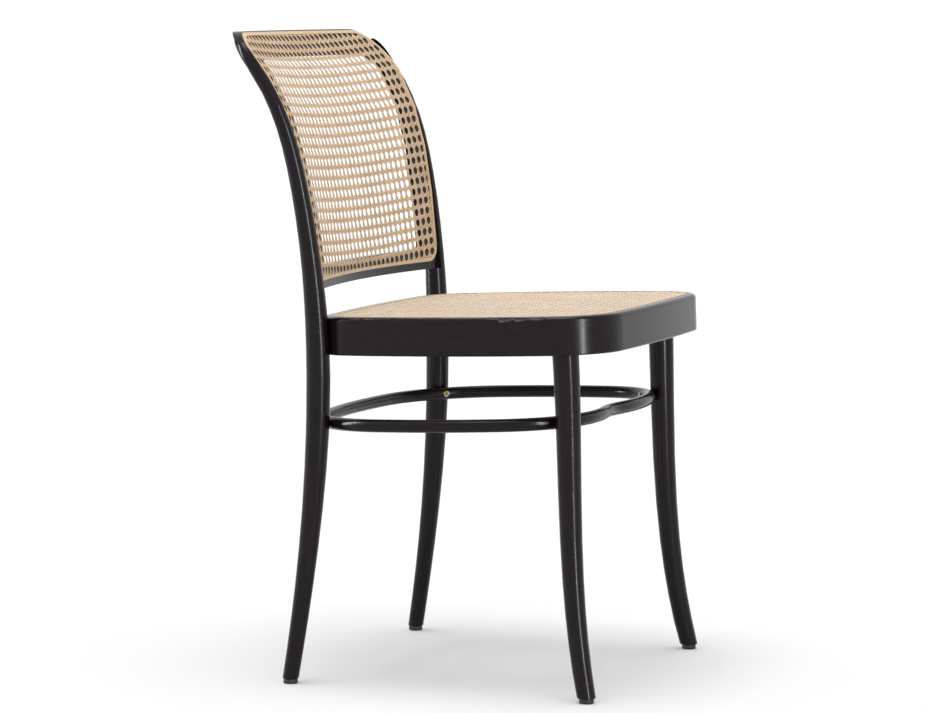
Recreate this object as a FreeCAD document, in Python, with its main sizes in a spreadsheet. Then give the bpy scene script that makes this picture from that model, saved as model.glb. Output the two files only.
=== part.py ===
# Bentwood dining chair with a caned seat and a caned back.
# One long beech rod is steamed and bent into the rear legs, the back posts and the top.
# A flat bent frame is housed in the front of that hoop and carries the back cane.
# The seat is a bent beech ring with its own cane, on two bent front legs, and a round
# ring ties the four legs together from the inside.
# The chair faces -Y, stands on z = 0, and its left and right are +X and -X as it faces us.
import FreeCAD, Part
import math
import os

from FreeCAD import Vector, Placement, Rotation

OUT = "parts"
SIDES = (("left", 1.0), ("right", -1.0))

# Driving sizes in millimetres and degrees: alias, value, what it is.
SIZES = [
    ("glide_diameter", 18.5, "plastic glide under each leg"),
    ("glide_height", 6.0, "glide, floor to leg"),
    ("foot_chamfer", 1.2, "worn edge of each leg end"),
    ("rear_foot_half_width", 215.6, "hoop axis to the middle plane, at the floor"),
    ("seat_post_half_width", 206.9, "hoop axis to the middle plane, at the seat"),
    ("top_post_half_width", 219.5, "hoop axis to the middle plane, near the top"),
    ("rear_foot_back", 173.2, "hoop axis behind the seat's middle, at the floor"),
    ("rear_shin_back", 154.4, "the same at shin height"),
    ("rear_knee_back", 139.8, "the same at knee height"),
    ("seat_post_back", 136.4, "the same at the seat"),
    ("lumbar_back", 145.8, "the same at the small of the back"),
    ("blade_back", 158.2, "the same at the shoulder blades"),
    ("shoulder_back", 180.0, "the same at the shoulders"),
    ("crown_back", 246.0, "the same at the top of the hoop"),
    ("rear_shin_height", 126.0, "height of the shin station"),
    ("rear_knee_height", 273.0, "height of the knee station"),
    ("seat_post_height", 430.0, "height of the seat station"),
    ("lumbar_height", 560.0, "height of the lumbar station"),
    ("blade_height", 640.0, "height of the shoulder blade station"),
    ("shoulder_height", 720.0, "height of the shoulder station"),
    ("hoop_axis_height", 821.6, "height of the top bend's axis"),
    ("hoop_corner_radius", 42.0, "bend of the hoop at its top corners"),
    ("back_hollow", 22.0, "how far the middle of the back lies behind its posts"),
    ("rear_foot_diameter", 20.8, "rear leg at the floor"),
    ("seat_post_diameter", 30.2, "post at the seat"),
    ("lumbar_diameter", 24.4, "post at the small of the back"),
    ("blade_diameter", 21.6, "post at the shoulder blades"),
    ("crown_diameter", 16.8, "rod at the top bend"),
    ("front_foot_half_width", 210.4, "front leg axis to the middle plane, at the floor"),
    ("front_shin_half_width", 192.6, "the same at shin height"),
    ("front_top_half_width", 190.0, "the same under the seat"),
    ("front_foot_fore", 227.5, "front leg axis before the seat's middle, at the floor"),
    ("front_ankle_fore", 211.0, "the same at the ankle"),
    ("front_shin_fore", 199.9, "the same at shin height"),
    ("front_top_fore", 190.6, "the same under the seat"),
    ("front_ankle_height", 84.0, "height of the ankle station"),
    ("front_shin_height", 189.0, "height of the shin station"),
    ("front_foot_diameter", 23.5, "front leg at the floor"),
    ("front_top_diameter", 33.5, "front leg under the seat"),
    ("leg_tenon_diameter", 22.0, "turned tenon on top of each front leg"),
    ("leg_tenon_length", 32.0, "tenon above the leg's shoulder"),
    ("wedge_thickness", 2.4, "hardwood wedge in the tenon's saw cut, at its thick end"),
    ("wedge_length", 18.0, "wedge, along the tenon"),
    ("seat_height", 474.3, "top of the seat frame at its middle"),
    ("seat_slope", 2.06, "fall of the seat to the rear, degrees"),
    ("seat_frame_height", 48.0, "depth of the bent seat ring"),
    ("seat_rim_width", 50.0, "width of the seat ring, seen from above"),
    ("seat_rim_round", 5.5, "round on the seat ring's top outer edge"),
    ("seat_rim_ease", 1.5, "chamfer on the seat ring's bottom outer edge"),
    ("seat_front_edge", 254.0, "front of the seat ring before its middle"),
    ("seat_front_bow", 2600.0, "radius of the seat's front edge"),
    ("seat_side_bow", 900.0, "radius of the seat's sides"),
    ("seat_rear_bow", 1500.0, "radius of the seat's rear edge"),
    ("seat_front_corner", 82.0, "corner radius at the front"),
    ("seat_rear_corner", 62.0, "corner radius at the rear"),
    ("seat_front_half_width", 225.0, "side of the seat at its front corners"),
    ("post_housing", 1.6, "how deep each post is let into the seat ring"),
    ("seat_corner_flat", 9.0, "flat face inside each rear corner, for the screw head"),
    ("seat_groove_inset", 13.0, "outer wall of the seat's cane groove, from the edge"),
    ("groove_width", 4.0, "groove for cane and spline"),
    ("groove_depth", 6.5, "groove for cane and spline"),
    ("cane_thickness", 1.2, "woven cane sheet"),
    ("spline_crown", 0.4, "how far the reed spline stands over the cane"),
    ("seat_hole_pitch", 29.0, "spacing of the holes in the seat cane"),
    ("back_hole_pitch", 26.0, "spacing of the holes in the back cane"),
    ("hole_share", 0.56, "width of a cane hole as a share of its pitch"),
    ("panel_bottom", 504.5, "lower edge of the back panel"),
    ("panel_bottom_half_width", 202.4, "back panel frame at its lower edge"),
    ("panel_top_half_width", 225.2, "back panel frame at its top, corners ignored"),
    ("panel_corner_radius", 49.0, "top corners of the panel frame"),
    ("panel_top_margin", 0.6, "top of the hoop over the panel frame"),
    ("panel_proud", 9.0, "cane's face before the hoop's axis"),
    ("panel_frame_thickness", 9.0, "panel frame, front to back"),
    ("panel_member_width", 34.0, "width of the panel's arch and stiles"),
    ("rail_height", 27.5, "height of the panel's bottom rail"),
    ("rail_reveal", 10.5, "bare wood under the back cane"),
    ("cane_corner_radius", 20.0, "bottom corners of the back cane"),
    ("panel_edge", 1.3, "bare wood outside the back spline"),
    ("dowel_diameter", 5.0, "dowels of the bottom rail"),
    ("dowel_length", 36.0, "dowels of the bottom rail"),
    ("dowel_edge", 4.5, "dowel axes from the rail's lower and upper edge"),
    ("seat_screw_diameter", 8.0, "coach screws, seat ring to post"),
    ("seat_screw_length", 78.0, "under the head"),
    ("seat_screw_head", 13.0, "across the flats of their hexagon heads"),
    ("seat_screw_head_height", 5.3, "height of the heads"),
    ("ring_diameter", 16.5, "round leg ring"),
    ("ring_height", 338.4, "axis of the leg ring at the seat's middle"),
    ("ring_slope", 2.2, "fall of the leg ring to the rear, degrees"),
    ("ring_front", 195.5, "axis of the ring before the middle, in front"),
    ("ring_rear", 177.0, "axis of the ring behind the middle, at the rear"),
    ("ring_side", 223.0, "axis of the ring at the sides"),
    ("ring_side_fore", 35.0, "where the sides are widest, before the middle"),
    ("ring_shoulder", 105.0, "where the front run starts to turn, from the middle plane"),
    ("ring_shoulder_fore", 198.5, "axis of the ring there"),
    ("ring_clearance", 0.05, "glue line between the ring and each leg"),
    ("ring_screw_diameter", 4.5, "screws through the ring into the legs"),
    ("ring_screw_head", 8.4, "their heads"),
    ("ring_screw_head_height", 2.4, "height of the heads"),
    ("ring_screw_proud", 0.6, "how far the heads stand out of the ring"),
    ("ring_screw_length", 30.0, "their whole length"),
]


doc = FreeCAD.newDocument("bentwood_chair")
sheet = doc.addObject("Spreadsheet::Sheet", "Sizes")
for row, (alias, value, note) in enumerate(SIZES, start=1):
    sheet.set("A%d" % row, alias)
    sheet.set("B%d" % row, str(value))
    sheet.set("C%d" % row, note)
    sheet.setAlias("B%d" % row, alias)
doc.recompute()


def size(alias):
    """A driving size, read back from the sheet."""
    return float(getattr(sheet, alias))


def bind(obj, **links):
    """Ties properties of an object to cells or sums of cells."""
    for prop, expression in links.items():
        obj.setExpression(prop.replace("__", "."), expression)
    return obj


def feature(name, shape):
    """A document object that holds a shape made by code."""
    obj = doc.addObject("Part::Feature", name)
    obj.Shape = shape
    return obj


def through(pairs):
    """A smooth law through (height, value) pairs, as a function of height."""
    law = Part.BSplineCurve()
    law.interpolate(Points=[Vector(v, h, 0) for h, v in pairs],
                    Parameters=[float(h) for h, _ in pairs])
    return lambda height: law.value(height).x


def section(centre, along, across, radius):
    """A round section square to a bent rod, with its seam turned towards across."""
    across = (across - along * across.dot(along)).normalize()
    turn = Rotation(across, along.cross(across), along, "ZXY")
    ring = Part.makeCircle(radius)
    ring.Placement = Placement(centre, turn)
    return Part.Wire([ring])


def bent_rod(stations, ending):
    """A tapering rod lofted through round sections at (point, radius) stations, cut
    level at the foot and square to a given ending at the top."""
    points = [p for p, _ in stations]
    wires = []
    for i, (point, radius) in enumerate(stations):
        along = ending
        if i == 0:
            along = Vector(0, 0, 1)
        elif i < len(stations) - 1:
            along = (points[i + 1] - points[i - 1]).normalize()
        wires.append(section(point, along, Vector(0, 1, 0), radius))
    return Part.makeLoft(wires, True, True)


def rounded(corners):
    """A closed wire in the XZ plane through (x, z, radius) corners."""
    points = [Vector(x, 0, z) for x, z, _ in corners]
    joins = []
    for i, (x, z, radius) in enumerate(corners):
        here = points[i]
        back = (points[i - 1] - here).normalize()
        ahead = (points[(i + 1) % len(points)] - here).normalize()
        half = back.getAngle(ahead) / 2.0
        middle = (back + ahead).normalize()
        reach = radius / math.tan(half)
        bow = here + middle * (radius / math.sin(half) - radius)
        joins.append((here + back * reach, bow, here + ahead * reach))
    edges = []
    for i, (start, bow, end) in enumerate(joins):
        edges.append(Part.Arc(start, bow, end).toShape())
        edges.append(Part.makeLine(end, joins[(i + 1) % len(joins)][0]))
    return Part.Wire(edges)


# The hoop's axis. Its posts follow three laws of height, and the whole back lies on one
# hollow surface: each level is an arc through both posts, back_hollow deep.
glide_height = size("glide_height")
axis_top = size("hoop_axis_height")
post_back = through([
    (0.0, size("rear_foot_back")),
    (size("rear_shin_height"), size("rear_shin_back")),
    (size("rear_knee_height"), size("rear_knee_back")),
    (size("seat_post_height"), size("seat_post_back")),
    (size("lumbar_height"), size("lumbar_back")),
    (size("blade_height"), size("blade_back")),
    (size("shoulder_height"), size("shoulder_back")),
    (axis_top, size("crown_back")),
])
post_side = through([
    (0.0, size("rear_foot_half_width")),
    (size("rear_knee_height"), size("seat_post_half_width") + 1.5),
    (size("seat_post_height"), size("seat_post_half_width")),
    (size("shoulder_height"), size("top_post_half_width")),
    (axis_top, size("top_post_half_width")),
])
post_girth = through([
    (0.0, size("rear_foot_diameter")),
    (size("rear_knee_height"), size("seat_post_diameter") - 1.8),
    (size("seat_post_height"), size("seat_post_diameter")),
    (size("lumbar_height"), size("lumbar_diameter")),
    (size("blade_height"), size("blade_diameter")),
    (axis_top - size("hoop_corner_radius"), size("crown_diameter")),
])


def lean(height):
    """Angle of the posts from upright at a height."""
    step = 1.0
    return math.atan2(post_back(height) - post_back(height - step), step)


def back_surface(x, height, proud=0.0):
    """The y of the hollow back at a point, moved forwards by proud along its normal."""
    half = post_side(height)
    hollow = size("back_hollow")
    radius = (half * half + hollow * hollow) / (2.0 * hollow)
    start = post_back(height) - proud / math.cos(lean(height))
    return start + hollow - radius + math.sqrt(radius * radius - x * x)


def cylinder(name, centre, along, **links):
    """A cylinder that starts at a point and runs along a direction."""
    obj = bind(doc.addObject("Part::Cylinder", name), **links)
    obj.Placement = Placement(centre, Rotation(Vector(0, 0, 1), along))
    return obj


def joined(kind, name, objects):
    """A MultiFuse or Compound of document objects."""
    obj = doc.addObject(kind, name)
    if kind == "Part::Compound":
        obj.Links = objects
    else:
        obj.Shapes = objects
    return obj


def cut(name, base, tools):
    """A document object: one object less a list of others, one after the other."""
    for number, tool in enumerate(tools, start=1):
        last = number == len(tools)
        obj = doc.addObject("Part::Cut", name if last else "%s_cut_%d" % (name, number))
        obj.Base = base
        obj.Tool = tool
        base = obj
    return base


def eased_foot(rod):
    """Breaks the edge of a leg's end grain."""
    ends = [e for e in rod.Edges if e.CenterOfMass.z < glide_height + 0.01]
    return rod.makeChamfer(size("foot_chamfer"), ends)


# The hoop, one rod from foot to foot: two tapering posts, two bends that lie in the plane
# of the post and the top run, and the hollow top run itself.
def post_axis(height):
    """A point on the left post's axis."""
    return Vector(post_side(height), post_back(height), height)


bend_start = axis_top - size("hoop_corner_radius")
for _ in range(8):
    rising = (post_axis(bend_start) - post_axis(bend_start - 1.0)).normalize()
    apex = post_axis(bend_start) + rising * ((axis_top - bend_start) / rising.z)
    reach = size("hoop_corner_radius")
    hollow_angle = 2.0 * math.atan(size("back_hollow") / (apex.x + reach))
    inward = Vector(-math.cos(hollow_angle), math.sin(hollow_angle), 0)
    turn = rising.getAngle(inward)
    reach = size("hoop_corner_radius") * math.tan(turn / 2.0)
    bend_start = axis_top - reach * rising.z
bend_point = apex - rising * reach
top_point = apex + inward * reach
hinge = rising.cross(inward).normalize()
bend_centre = bend_point + hinge.cross(rising) * size("hoop_corner_radius")
run_centre = Vector(0, top_point.y - top_point.x / math.tan(hollow_angle), axis_top)
crown_radius = size("crown_diameter") / 2.0
post_levels = [glide_height, 45.0, 90.0, 130.0, 175.0, 225.0, 275.0, 320.0, 348.0, 395.0,
               430.0, 468.0, 498.0, 530.0, 565.0, 600.0, 630.0, 660.0, 688.0, 712.0, 735.0,
               756.0]
posts = [(post_axis(level), post_girth(level) / 2.0)
         for level in post_levels if level < bend_start - 8.0]
posts.append((bend_point, crown_radius))
post = eased_foot(bent_rod(posts, rising))
corner = Part.Face(section(bend_point, rising, Vector(0, 1, 0), crown_radius)).revolve(
    bend_centre, hinge, math.degrees(turn))
top_run = Part.Face(section(top_point, inward, Vector(0, 1, 0), crown_radius)).revolve(
    run_centre, Vector(0, 0, 1), math.degrees(2.0 * hollow_angle))
middle = (Vector(0, 0, 0), Vector(1, 0, 0))
hoop_rod = feature("hoop_rod", top_run.multiFuse(
    [post, corner, post.mirror(*middle), corner.mirror(*middle)]))

# The seat ring is built flat, in a frame that falls to the rear about the seat's middle.
seat_place = Placement(Vector(0, 0, size("seat_height")),
                       Rotation(Vector(1, 0, 0), -size("seat_slope")))
rim_middle = size("seat_height") - size("seat_frame_height") / 2.0
post_at_seat = seat_place.inverse().multVec(
    Vector(post_side(rim_middle), post_back(rim_middle), rim_middle))
diagonal = Vector(1, 1, 0).normalize()
rear_reach = (size("seat_rear_corner") + post_girth(rim_middle) / 2.0
              - size("post_housing"))
rear_centre = Vector(post_at_seat.x, post_at_seat.y, 0) - diagonal * rear_reach
front_arc = Vector(0, size("seat_front_bow") - size("seat_front_edge"), 0)
front_x = size("seat_front_half_width") - size("seat_front_corner")
front_gap = size("seat_front_bow") - size("seat_front_corner")
front_centre = Vector(front_x, front_arc.y - math.sqrt(front_gap ** 2 - front_x ** 2), 0)
rear_gap = size("seat_rear_bow") - size("seat_rear_corner")
rear_arc = Vector(0, rear_centre.y - math.sqrt(rear_gap ** 2 - rear_centre.x ** 2), 0)
to_front = size("seat_side_bow") - size("seat_front_corner")
to_rear = size("seat_side_bow") - size("seat_rear_corner")
chord = rear_centre - front_centre
along_chord = (chord.Length ** 2 + to_front ** 2 - to_rear ** 2) / (2.0 * chord.Length)
aside = math.sqrt(to_front ** 2 - along_chord ** 2)
chord_way = Vector(chord).normalize()
side_arc = front_centre + chord_way * along_chord + Vector(-chord_way.y, chord_way.x, 0) * aside


def seat_outline(inset):
    """The seat's outline moved inwards, as eight tangent arcs round the ring."""
    def on(centre, radius, towards):
        way = (towards - centre).normalize()
        return centre + way * (radius - inset)

    def left(point):
        return Vector(-point.x, point.y, point.z)

    front = on(front_arc, size("seat_front_bow"), front_centre)
    front_side = on(side_arc, size("seat_side_bow"), front_centre)
    rear_side = on(side_arc, size("seat_side_bow"), rear_centre)
    rear = on(rear_arc, size("seat_rear_bow"), rear_centre)
    front_bend = on(front_centre, size("seat_front_corner"), (front + front_side) * 0.5)
    rear_bend = on(rear_centre, size("seat_rear_corner"), (rear + rear_side) * 0.5)
    side = on(side_arc, size("seat_side_bow"), (front_side + rear_side) * 0.5)
    front_middle = Vector(0, inset - size("seat_front_edge"), 0)
    rear_middle = Vector(0, rear_arc.y + size("seat_rear_bow") - inset, 0)
    spans = [
        (left(front), front_middle, front),
        (front, front_bend, front_side),
        (front_side, side, rear_side),
        (rear_side, rear_bend, rear),
        (rear, rear_middle, left(rear)),
        (left(rear), left(rear_bend), left(rear_side)),
        (left(rear_side), left(side), left(front_side)),
        (left(front_side), left(front_bend), left(front)),
    ]
    return Part.Wire([Part.Arc(*span).toShape() for span in spans])


def seat_prism(inset, bottom, top):
    """The outline, inset and extruded between two levels of the seat's own frame."""
    face = Part.Face(seat_outline(inset))
    face.translate(Vector(0, 0, bottom))
    return face.extrude(Vector(0, 0, top - bottom))


def placed(name, shape, place):
    """A feature whose shape is made in its own frame and then placed."""
    obj = feature(name, shape)
    obj.Placement = place
    return obj


frame_bottom = -size("seat_frame_height")
block = seat_prism(0.0, frame_bottom, 0.0)
top_edges = [e for e in block.Edges if e.BoundBox.ZMin > -0.01]
block = block.makeFillet(size("seat_rim_round"), top_edges)
bottom_edges = [e for e in block.Edges if e.BoundBox.ZMax < frame_bottom + 0.01]
block = block.makeChamfer(size("seat_rim_ease"), bottom_edges)
seat_block = placed("seat_block", block, seat_place)
groove_outer = size("seat_groove_inset")
groove_inner = groove_outer + size("groove_width")
corner_wall = size("seat_rear_corner") - size("seat_rim_width") - size("seat_corner_flat")
opening = seat_prism(size("seat_rim_width"), frame_bottom - 1.0, 1.0)
for _, way in SIDES:
    outward = Vector(way, 1, 0).normalize()
    face_point = Vector(way * rear_centre.x, rear_centre.y, 0) + outward * corner_wall
    keep = Part.makeBox(900.0, 900.0, 200.0, Vector(-450.0, 0, -100.0))
    keep.Placement = Placement(face_point, Rotation(Vector(0, 1, 0), outward))
    opening = opening.cut(keep)
ring_shape = block.cut(opening)
ring_shape = ring_shape.cut(seat_prism(groove_inner, -size("cane_thickness"), 1.0))
groove = seat_prism(groove_outer, -size("groove_depth"), 1.0).cut(
    seat_prism(groove_inner, -size("groove_depth") - 1.0, 2.0))
ring_shape = ring_shape.cut(groove)
seat_ring = placed("seat_ring", ring_shape, seat_place)

spline_ring = seat_prism(groove_outer, -size("groove_depth"), size("spline_crown")).cut(
    seat_prism(groove_inner, -size("groove_depth") - 1.0, size("spline_crown") + 1.0))
seat_spline = placed("seat_spline", spline_ring, seat_place)


def square(x, y, half):
    """A square hole with its corners on the weave's diagonals, in the XY plane."""
    corners = [Vector(x + half * dx, y + half * dy, 0)
               for dx, dy in ((1, 0), (0, 1), (-1, 0), (0, -1), (1, 0))]
    return Part.makePolygon(corners)


def grid(pitch, half_x, low_y, high_y):
    """Hole centres of a square weave, symmetric about the middle plane."""
    columns = int(half_x / pitch)
    rows = int((high_y - low_y) / pitch)
    start = (low_y + high_y - rows * pitch) / 2.0
    for i in range(-columns, columns + 1):
        for j in range(rows + 1):
            yield i * pitch, start + j * pitch


# The seat cane: one woven sheet, held in the groove all round.
hole = size("seat_hole_pitch") * size("hole_share") / 2.0 * math.sqrt(2.0)
opening = Part.Face(seat_outline(size("seat_rim_width") + hole + 1.0))
box = opening.BoundBox
holes = [square(x, y, hole)
         for x, y in grid(size("seat_hole_pitch"), box.XMax, box.YMin, box.YMax)
         if opening.isInside(Vector(x, y, 0), 0.01, True)]
woven = Part.Face([seat_outline(groove_inner)] + holes, "Part::FaceMakerBullseye")
woven.translate(Vector(0, 0, -size("cane_thickness")))
seat_cane = placed("seat_cane", woven.extrude(Vector(0, 0, size("cane_thickness"))),
                   seat_place)

# The front legs: round, tapering, bent outwards at the foot, with a tenon on top.
leg_side = through([
    (0.0, size("front_foot_half_width")),
    (size("front_shin_height"), size("front_shin_half_width")),
    (size("seat_post_height"), size("front_top_half_width")),
])
leg_fore = through([
    (0.0, size("front_foot_fore")),
    (size("front_ankle_height"), size("front_ankle_fore")),
    (size("front_shin_height"), size("front_shin_fore")),
    (size("seat_post_height"), size("front_top_fore")),
])


def leg_radius(height):
    """Radius of a front leg, an even taper from the seat to the foot."""
    share = height / size("seat_post_height")
    low = size("front_foot_diameter")
    return (low + (size("front_top_diameter") - low) * share) / 2.0


def leg_axis(height, way):
    """A point on a front leg's axis."""
    return Vector(way * leg_side(height), -leg_fore(height), height)


seat_up = seat_place.Rotation.multVec(Vector(0, 0, 1))
leg_top = size("seat_height") - size("seat_frame_height")
front_fall = math.tan(math.radians(size("seat_slope")))
shoulder = leg_top + size("front_top_fore") * front_fall
leg_levels = [glide_height, 40.0, 75.0, 110.0, 150.0, 200.0, 260.0, 330.0, 362.0, 405.0,
              shoulder + 12.0]
tenon_root = 4.0
leg_rods = {}
tenons = {}
wedges = {}
for hand, way in SIDES:
    stations = [(leg_axis(level, way), leg_radius(level)) for level in leg_levels]
    leg_rods[hand] = feature("front_leg_rod_" + hand,
                             eased_foot(bent_rod(stations, Vector(0, 0, 1))))
    seat = leg_axis(shoulder, way)
    tenons[hand] = cylinder("tenon_" + hand, seat - seat_up * tenon_root, seat_up,
                            Radius="Sizes.leg_tenon_diameter / 2",
                            Height="Sizes.leg_tenon_length + %s" % tenon_root)
    thick = size("wedge_thickness") / 2.0
    across = size("leg_tenon_diameter") * 0.46
    tip = Part.makePolygon([
        Vector(-thick, -across, 0), Vector(thick, -across, 0),
        Vector(thick * 0.25, -across, -size("wedge_length")),
        Vector(-thick * 0.25, -across, -size("wedge_length")), Vector(-thick, -across, 0)])
    wedge = Part.Face(tip).extrude(Vector(0, 2.0 * across, 0))
    wedges[hand] = placed("wedge_" + hand, wedge,
                          Placement(seat + seat_up * size("leg_tenon_length"),
                                    seat_place.Rotation))

# The leg ring lies inside the four legs and is let into each of them a little.
ring_place = Placement(Vector(0, 0, size("ring_height")),
                       Rotation(Vector(1, 0, 0), -size("ring_slope")))
ring_radius = size("ring_diameter") / 2.0
ring_fall = math.tan(math.radians(size("ring_slope")))


def beside(centre, leg_thickness, way_in):
    """Where the ring's axis passes a leg, on its inner side."""
    gap = leg_thickness + ring_radius + size("ring_clearance")
    return centre + way_in.normalize() * gap


front_level = size("ring_height") + size("front_top_fore") * ring_fall
rear_level = size("ring_height") - size("seat_post_back") * ring_fall
at_front = Vector(leg_side(front_level), -leg_fore(front_level), 0)
at_rear = Vector(post_side(rear_level), post_back(rear_level), 0)
by_front = beside(at_front, leg_radius(front_level), Vector(-0.62, 0.78, 0))
by_rear = beside(at_rear, post_girth(rear_level) / 2.0, Vector(-0.70, -0.71, 0))
right_half = [Vector(size("ring_shoulder"), -size("ring_shoulder_fore"), 0), by_front,
              Vector(size("ring_side"), -size("ring_side_fore"), 0), by_rear]
left_half = [Vector(-p.x, p.y, 0) for p in reversed(right_half)]
ring_points = ([Vector(0, -size("ring_front"), 0)] + right_half
               + [Vector(0, size("ring_rear"), 0)] + left_half)
guide = Part.BSplineCurve()
guide.interpolate(Points=ring_points, PeriodicFlag=True)
headings = [guide.tangent(guide.parameter(point))[0] for point in ring_points]


def arc_of_ring(start, heading, end):
    """A bend of the ring from a point, along its heading, to another point."""
    side = Vector(-heading.y, heading.x, 0)
    step = end - start
    centre = start + side * (step.dot(step) / (2.0 * side.dot(step)))
    angle = 2.0 * math.atan2(side.dot(step), heading.dot(step))
    face = Part.Face(section(start, heading, Vector(0, 0, 1), ring_radius))
    return face.revolve(centre, Vector(0, 0, 1), math.degrees(angle))


# Two tangent bends join each point of the ring to the next.
bends = []
for i, start in enumerate(ring_points):
    end = ring_points[(i + 1) % len(ring_points)]
    leave, arrive = headings[i], headings[(i + 1) % len(headings)]
    step = end - start
    spread = 2.0 * (1.0 - leave.dot(arrive))
    along = step.dot(leave + arrive)
    reach = (math.sqrt(along * along + spread * step.dot(step)) - along) / spread
    joint = (start + leave * reach + end - arrive * reach) * 0.5
    bends.append(arc_of_ring(start, leave, joint))
    bends.append(arc_of_ring(end, arrive * -1.0, joint))
ring_rod = placed("ring_rod", bends[0].multiFuse(bends[1:]), ring_place)

# The hollow back as a slab between two depths, cut out by outlines seen from the front.
slab_levels = [480.0, 540.0, 610.0, 670.0, 725.0, 775.0, 840.0]


def slab(front, rear):
    """The part of the back between two distances before the hoop's axis."""
    levels = []
    reach = size("top_post_half_width") + 20.0
    for level in slab_levels:
        points = []
        for proud, xs in ((front, (-reach, 0.0, reach)), (rear, (reach, 0.0, -reach))):
            points.append([Vector(x, back_surface(x, level, proud), level) for x in xs])
        edges = [Part.Arc(*points[0]).toShape(), Part.makeLine(points[0][2], points[1][0]),
                 Part.Arc(*points[1]).toShape(), Part.makeLine(points[1][2], points[0][0])]
        levels.append(Part.Wire(edges))
    return Part.makeLoft(levels, True, True)


def through_back(wire):
    """An outline in the XZ plane, extruded through the whole back."""
    return Part.Face(wire).extrude(Vector(0, size("crown_back") + 100.0, 0))


def inset(wire, amount):
    """The same outline, moved inwards."""
    return wire.makeOffset2D(-amount, 0, False, False, False) if amount else wire


panel_bottom = size("panel_bottom")
panel_top = axis_top + size("crown_diameter") / 2.0 - size("panel_top_margin")
low_x = size("panel_bottom_half_width")
high_x = size("panel_top_half_width")
corner_round = size("panel_corner_radius")
panel_outline = rounded([(-low_x, panel_bottom, 1.0), (low_x, panel_bottom, 1.0),
                         (high_x, panel_top, corner_round),
                         (-high_x, panel_top, corner_round)])
margin = size("panel_edge")
cane_round = size("cane_corner_radius")
cane_bottom = panel_bottom + size("rail_reveal")
spline_outline = rounded([(-low_x + margin, cane_bottom, cane_round),
                          (low_x - margin, cane_bottom, cane_round),
                          (high_x - margin, panel_top - margin, corner_round - margin),
                          (-high_x + margin, panel_top - margin, corner_round - margin)])
cane_outline = inset(spline_outline, size("groove_width"))
member = size("panel_member_width")
opening_bottom = panel_bottom + size("rail_height")
opening_outline = rounded([(-low_x + member, opening_bottom, 8.0),
                           (low_x - member, opening_bottom, 8.0),
                           (high_x - member, panel_top - member, corner_round - member + 8.0),
                           (-high_x + member, panel_top - member,
                            corner_round - member + 8.0)])
cane_face = size("panel_proud")
wood_face = cane_face - size("cane_thickness")
wood_back = wood_face - size("panel_frame_thickness")
over_top = panel_top + size("crown_diameter")
housing_outline = rounded([(-low_x, panel_bottom, 1.0), (low_x, panel_bottom, 1.0),
                           (high_x, over_top, corner_round),
                           (-high_x, over_top, corner_round)])
frame_blank = slab(wood_face, wood_back).common(through_back(panel_outline))
housing = feature("panel_housing", slab(wood_face + size("lumbar_diameter"), wood_back).common(
    through_back(housing_outline)))
face_slab = slab(cane_face + size("spline_crown"), wood_face - size("groove_depth"))
strip = through_back(spline_outline).cut(through_back(cane_outline))
groove_bar = face_slab.common(strip)
panel_ring = frame_blank.cut(through_back(opening_outline)).cut(groove_bar)
rail_box = Part.makeBox(2.0 * (low_x - member), 600.0, size("rail_height") + 10.0,
                        Vector(-(low_x - member), 0, panel_bottom - 10.0))
rail_blank = feature("rail_blank", panel_ring.common(rail_box))
arch_blank = feature("arch_blank", panel_ring.cut(rail_box))
back_spline = feature("back_spline", groove_bar)

hole = size("back_hole_pitch") * size("hole_share") / 2.0 * math.sqrt(2.0)
opening = Part.Face(inset(opening_outline, hole + 1.0))
box = opening.BoundBox
holes = []
for x, z in grid(size("back_hole_pitch"), box.XMax, box.ZMin, box.ZMax):
    if opening.isInside(Vector(x, 0, z), 0.01, True):
        lozenge = square(x, z, hole)
        lozenge.rotate(Vector(0, 0, 0), Vector(1, 0, 0), 90)
        holes.append(lozenge)
woven = Part.Face([cane_outline] + holes, "Part::FaceMakerBullseye")
woven = woven.extrude(Vector(0, size("crown_back") + 100.0, 0))
back_cane = feature("back_cane", slab(cane_face, wood_face).common(woven))

# The bottom rail is dowelled between the feet of the bent arch.
def dowel_at(way, height):
    """A point on the joint's face and the direction of the member there."""
    joint = low_x - member
    depth = (wood_face + wood_back) / 2.0
    ahead = Vector(way * (joint + 1.0), back_surface(joint + 1.0, height, depth), height)
    point = Vector(way * joint, back_surface(joint, height, depth), height)
    return point, (ahead - point).normalize()


dowels = {}
for hand, way in SIDES:
    for name, height in (("lower", panel_bottom + size("dowel_edge")),
                         ("upper", opening_bottom - size("dowel_edge"))):
        point, along = dowel_at(way, height)
        dowels["rail_dowel_%s_%s" % (hand, name)] = cylinder(
            "dowel_%s_%s" % (hand, name), point - along * (size("dowel_length") / 2.0), along,
            Radius="Sizes.dowel_diameter / 2", Height="Sizes.dowel_length")

# A coach screw runs from inside each rear corner of the seat ring into the post.
coach_screws = {}
for hand, way in SIDES:
    outward = Vector(way, 1, 0).normalize()
    wall = Vector(way * rear_centre.x, rear_centre.y, 0) + outward * corner_wall
    seat = seat_place.multVec(Vector(wall.x, wall.y, frame_bottom / 2.0))
    along = seat_place.Rotation.multVec(outward)
    head = bind(doc.addObject("Part::Prism", "coach_head_" + hand),
                Circumradius="Sizes.seat_screw_head / sqrt(3)",
                Height="Sizes.seat_screw_head_height")
    head.Polygon = 6
    head.Placement = Placement(seat - along * size("seat_screw_head_height"),
                               Rotation(Vector(0, 0, 1), along))
    shank = cylinder("coach_shank_" + hand, seat, along,
                     Radius="Sizes.seat_screw_diameter / 2",
                     Height="Sizes.seat_screw_length")
    coach_screws["coach_screw_" + hand] = joined("Part::MultiFuse", "coach_" + hand,
                                                 [head, shank])

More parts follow.
